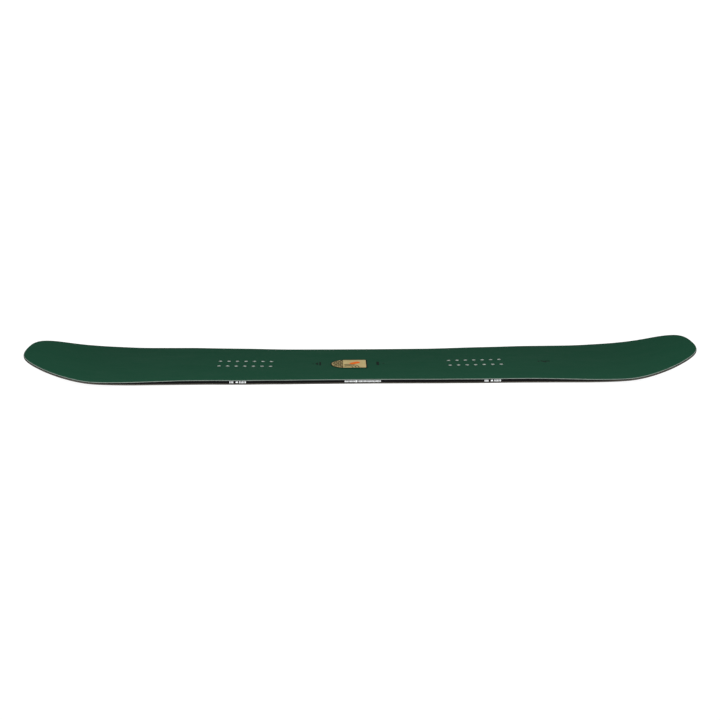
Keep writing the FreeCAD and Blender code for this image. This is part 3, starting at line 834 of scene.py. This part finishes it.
def make_pad():
    verts, faces = flat_plate([pad_row(PAD_RIM / 2, PAD_LOW), pad_row(PAD_RIM / 2, PAD_FLOOR)])
    pad_mesh("pad_film", verts, faces, ADHESIVE, "pad_adhesive", ["stomp_pad_adhesive"])

    profile = [(0.15, 0.0), (0.0, 0.15), (0.0, 0.62), (0.12, 0.84), (0.36, 0.96), (0.8, 1.0),
               (1.7, 1.0), (2.1, 0.97), (PAD_RIM - 0.04, 0.86), (PAD_RIM - 0.02, 0.0)]
    verts, faces, rows = [], [], []
    for inset, height in profile:
        row = pad_row(inset, PAD_LOW + height * PAD_THICKNESS)
        rows.append(range(len(verts), len(verts) + len(row)))
        verts += row
    for number, row in enumerate(rows):
        bridge(faces, row, rows[(number + 1) % len(rows)], closed=True)
    pad_mesh("pad_rim", verts, faces, RIM_RUBBER, "pad_rim", ["stomp_pad_rim"])

    rows = [pad_row(PAD_RIM + 0.5, PAD_TOP - 0.02), pad_row(PAD_RIM + 0.2, PAD_TOP - 0.06),
            pad_row(PAD_RIM + 0.02, PAD_TOP - 0.2), pad_row(PAD_RIM + 0.02, PAD_LOW)]
    verts, faces = flat_plate(rows, crown=0.02)
    pad_mesh("pad_face", verts, faces, PAD_RUBBER, "pad_face", ["stomp_pad"])


def make_ribs():
    """Two crossed families of ribs at the arched end, then arches; one family is a hair lower."""
    family_drop, path_step, shortest = 0.03, 0.4, 6
    margin = RIB_MARGIN + RIB_WIDTH / 2
    field_end = min(x for x, _ in pad_outline(PAD_RIM + RIB_MARGIN))
    zone_end = field_end + RIB_ZONE
    verts, faces = [], []

    def add(path, drop=0.0):
        some_verts, some_faces = ribbon(path, RIB_WIDTH, RIB_HEIGHT - drop, RELIEF_FOOT)
        start = len(verts)
        verts.extend(some_verts)
        faces.extend([([start + i for i in face], shade) for face, shade in some_faces])

    def in_zone(x, y):
        return x < zone_end - RIB_WIDTH / 2 and inside_field(x, y, margin)

    for angle, drop in ((-RIB_ANGLE, 0.0), (RIB_ANGLE, family_drop)):
        turn = math.radians(angle)
        way = np.array([math.cos(turn), math.sin(turn)])
        across = np.array([-way[1], way[0]])
        count = int(PAD_WIDTH / RIB_PITCH / 2)
        for step in range(-count, count + 1):
            middle = np.array([(field_end + zone_end) / 2, 0.0]) + across * step * RIB_PITCH
            line = [tuple(middle + way * d) for d in np.arange(-PAD_WIDTH, PAD_WIDTH, path_step)]
            run = clipped(line, in_zone)
            if len(run) > shortest:
                add(run[::3] + [run[-1]], drop)

    arch_middle = (PAD_X - ARCH_OFFSET, -(PAD_WIDTH / 2 - PAD_RIM - RIB_MARGIN))
    for number in range(ARCH_COUNT):
        radius = ARCH_RADIUS + ARCH_PITCH * number
        arc = [(arch_middle[0] + radius * math.cos(math.radians(a)),
                arch_middle[1] + radius * math.sin(math.radians(a))) for a in range(0, 181, 2)]
        run = clipped(arc, lambda x, y: x > zone_end + RIB_WIDTH * 1.5
                      and inside_field(x, y, margin))
        add(run)
    pad_mesh("pad_ribs", verts, faces, RIM_RUBBER, "pad_rim", ["stomp_pad_ribs"], merge=0.0005)


def make_accent():
    turn = math.radians(ACCENT_TURN)
    middle = np.array([PAD_X + ACCENT_AHEAD, ACCENT_ASIDE])
    reach = (ACCENT_LENGTH - ACCENT_WIDTH) / 2
    way = np.array([math.cos(turn), math.sin(turn)])
    path = [middle + way * reach * share for share in np.linspace(-1, 1, 9)]
    verts, faces = ribbon(path, ACCENT_WIDTH, RIB_HEIGHT, RELIEF_FOOT)
    pad_mesh("pad_capsule", verts, faces, ACCENT_RUBBER, "pad_accent", ["stomp_pad_accent"])


# ---------------------------------------------------------------------------
# Plain prints: deck marks and sidewall bars
# ---------------------------------------------------------------------------

PRINT_THICKNESS = 0.03                   # above the surface, and as much below it
DOT_SIDES = 24


def deck_mark(name, loop):
    """Thin print on the deck from a plan loop of (s, y)."""
    count = len(loop)
    base = [(s + STANCE_X, y) for s, y in loop]
    verts = [(x, y, level("deck", x) + DECK + PRINT_THICKNESS) for x, y in base]
    verts += [(x, y, level("deck", x) + DECK - PRINT_THICKNESS) for x, y in base]
    faces = [(list(range(count)), ""), (list(range(count, 2 * count)), "")]
    bridge(faces, range(count), range(count, 2 * count), closed=True)
    mesh("print_" + name, verts, faces, BLACK_PRINT, "topsheet", merge=0.0005)


def rectangle(s, y, length, width, turn=0.0):
    cosine, sine = math.cos(math.radians(turn)), math.sin(math.radians(turn))
    corners = ((-1, -1), (1, -1), (1, 1), (-1, 1))
    half = [(a * length / 2, b * width / 2) for a, b in corners]
    return [(s + a * cosine - b * sine, y + a * sine + b * cosine) for a, b in half]


def make_deck_marks():
    deck_mark("dot_rear", circle((-111.0, 0.0), 2.4, DOT_SIDES))
    deck_mark("wedge_rear", [(-106.5, 0.0), (-99.5, -12.0), (-99.5, 12.0)])
    deck_mark("bar_rear", rectangle(-94.5, 0.0, 4.0, 28.0))
    deck_mark("block_front", rectangle(41.0, 0.0, 6.5, 28.0))
    deck_mark("dot_front", circle((54.5, 0.0), 2.4, DOT_SIDES))
    deck_mark("dot_nose", circle((421.0, 0.0), 2.8, DOT_SIDES))
    deck_mark("bar_nose_low", rectangle(432.5, -1.5, 5.0, 17.0, 38.0))
    deck_mark("bar_nose_high", rectangle(442.0, 2.0, 12.0, 6.0))
    for name, foot in (("stance_front", 1), ("stance_rear", -1)):
        deck_mark(name, circle((foot * STANCE_WIDTH / 2, 0.0), 2.2, DOT_SIDES))


def wall_bars(side, bars):
    """Plain blocks on a sidewall: (start, end) along the board, (low, high) shares of its height."""
    verts, faces = [], []
    indices = list(HALVES[side])
    x_of = np.array([OUTLINE[i % COUNT][0] - STANCE_X for i in indices])
    order = np.argsort(x_of)

    def place(s, share, out):
        index = float(np.interp(s, x_of[order], np.array(indices, float)[order]))
        low, high = int(math.floor(index)), int(math.floor(index)) + 1
        part = index - low
        spots = []
        for i in (low, high):
            foot = np.array(rim_point(i, wall_inset(share) - out, "base", CORE_BOTTOM))
            head = rim_point(i, wall_inset(share) - out, "deck", -SHOULDER)[2]
            foot[2] += (head - foot[2]) * share
            spots.append(foot)
        return tuple(spots[0] * (1 - part) + spots[1] * part)

    steps = 3
    for (start, end), (low, high) in bars:
        first = len(verts)
        for out in (PRINT_THICKNESS, -PRINT_THICKNESS):
            for share in (low, high):
                verts += [place(start + (end - start) * step / (steps - 1), share, out)
                          for step in range(steps)]
        rows = [range(first + k * steps, first + (k + 1) * steps) for k in (0, 1, 3, 2)]
        for number, row in enumerate(rows):
            bridge(faces, row, rows[(number + 1) % 4])
        faces.append(([row[0] for row in rows], ""))
        faces.append(([row[-1] for row in rows], ""))
    mesh("wall_bars_" + side, verts, faces, WHITE_PRINT, "sidewall_plastic", merge=0.0005)


def row_of_bars(start, widths, gap, band):
    bars = []
    for width in widths:
        bars.append(((start, start + width), band))
        start += width + gap
    return bars


def make_wall_bars():
    """A short row by each foot and a longer one at the waist, each with a wider block in it."""
    short, long = [2.2, 1.6, 2.2], [2.2, 1.6, 2.2, 1.6, 2.2]
    tall, middle, block = (0.12, 0.86), (0.2, 0.8), (0.14, 0.86)
    foot_gap, waist_gap = 1.2, 1.0
    for side in HALVES:
        bars = []
        for start in (-296.0, 276.5):
            bars += row_of_bars(start, short, foot_gap, tall)
            bars += row_of_bars(start + 14.0, [5.0], 0.0, middle)
            bars += row_of_bars(start + 22.0, long, foot_gap, tall)
        bars += row_of_bars(-38.0, long + short, waist_gap, middle)
        bars += row_of_bars(-14.0, [4.4], 0.0, block)
        bars += row_of_bars(-7.0, long + long, waist_gap, middle)
        bars += row_of_bars(20.0, long + short, waist_gap, middle)
        wall_bars(side, bars)


# ---------------------------------------------------------------------------
# Stage: floor, light and camera
# ---------------------------------------------------------------------------

def make_floor():
    """White glowing table, with a white wall far out all round it."""
    table = Shader("lit_table", (0.3, 0.3, 0.3), 0.9, specular=0.05)
    table.surface.inputs["Emission Color"].default_value = (1, 1, 1, 1)
    table.surface.inputs["Emission Strength"].default_value = 0.95
    table.bump(table.noise(4.0), 0.02, 0.001)
    data = bpy.data.meshes.new("floor")
    reach, wall = 40.0, 9.0
    corners = [(-reach, -reach), (reach, -reach), (reach, reach), (-reach, reach)]
    data.from_pydata([(x, y, z) for z in (0, wall) for x, y in corners], [],
                     [(0, 1, 2, 3)] + [(i, (i + 1) % 4, (i + 1) % 4 + 4, i + 4) for i in range(4)])
    data.materials.append(table.material)
    floor = bpy.data.objects.new("floor", data)
    bpy.context.scene.collection.objects.link(floor)


def area_light(name, place, aim, size, power):
    data = bpy.data.lights.new(name, "AREA")
    data.shape = "RECTANGLE"
    data.size, data.size_y = size
    data.energy = power
    lamp = bpy.data.objects.new(name, data)
    lamp.location = place
    lamp.rotation_euler = (Vector(aim) - Vector(place)).to_track_quat("-Z", "Y").to_euler()
    bpy.context.scene.collection.objects.link(lamp)


def make_light():
    world = bpy.data.worlds.new("studio")
    world.use_nodes = True
    backdrop = world.node_tree.nodes["Background"]
    backdrop.inputs["Color"].default_value = (1.0, 1.0, 1.0, 1)
    backdrop.inputs["Strength"].default_value = 0.28
    bpy.context.scene.world = world
    area_light("near_softbox", place=(0.0, -0.80, 0.60), aim=(0.0, 0.0, 0.0), size=(3.2, 0.35),
               power=13.0)
    bpy.context.scene.view_settings.view_transform = "Standard"


CAMERA_PLACE = (-0.0632, -2.6048, 0.7638)
CAMERA_PITCH, CAMERA_YAW = -15.958, -1.307      # degrees below level, and to the right of +Y
LENS = 57.6


def make_camera():
    data = bpy.data.cameras.new("camera")
    data.lens = LENS
    data.sensor_width = 36.0
    data.clip_start, data.clip_end = 0.05, 200.0
    camera = bpy.data.objects.new("camera", data)
    camera.location = CAMERA_PLACE
    camera.rotation_euler = Euler((math.radians(90 + CAMERA_PITCH), 0.0, math.radians(CAMERA_YAW)))
    bpy.context.scene.collection.objects.link(camera)
    bpy.context.scene.camera = camera


def paint_core():
    """The core strips are the frame's own pieces, in wood."""
    for name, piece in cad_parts.items():
        if name.startswith("core_strip"):
            piece.data.materials.clear()
            piece.data.materials.append(WOOD)


make_camera()
make_base()
make_edges()
make_bottom_laminate()
make_top_layers()
make_sidewalls()
make_spacers()
make_inserts()
make_pad()
make_ribs()
make_accent()
make_deck_marks()
make_wall_bars()
paint_core()
make_floor()
make_light()
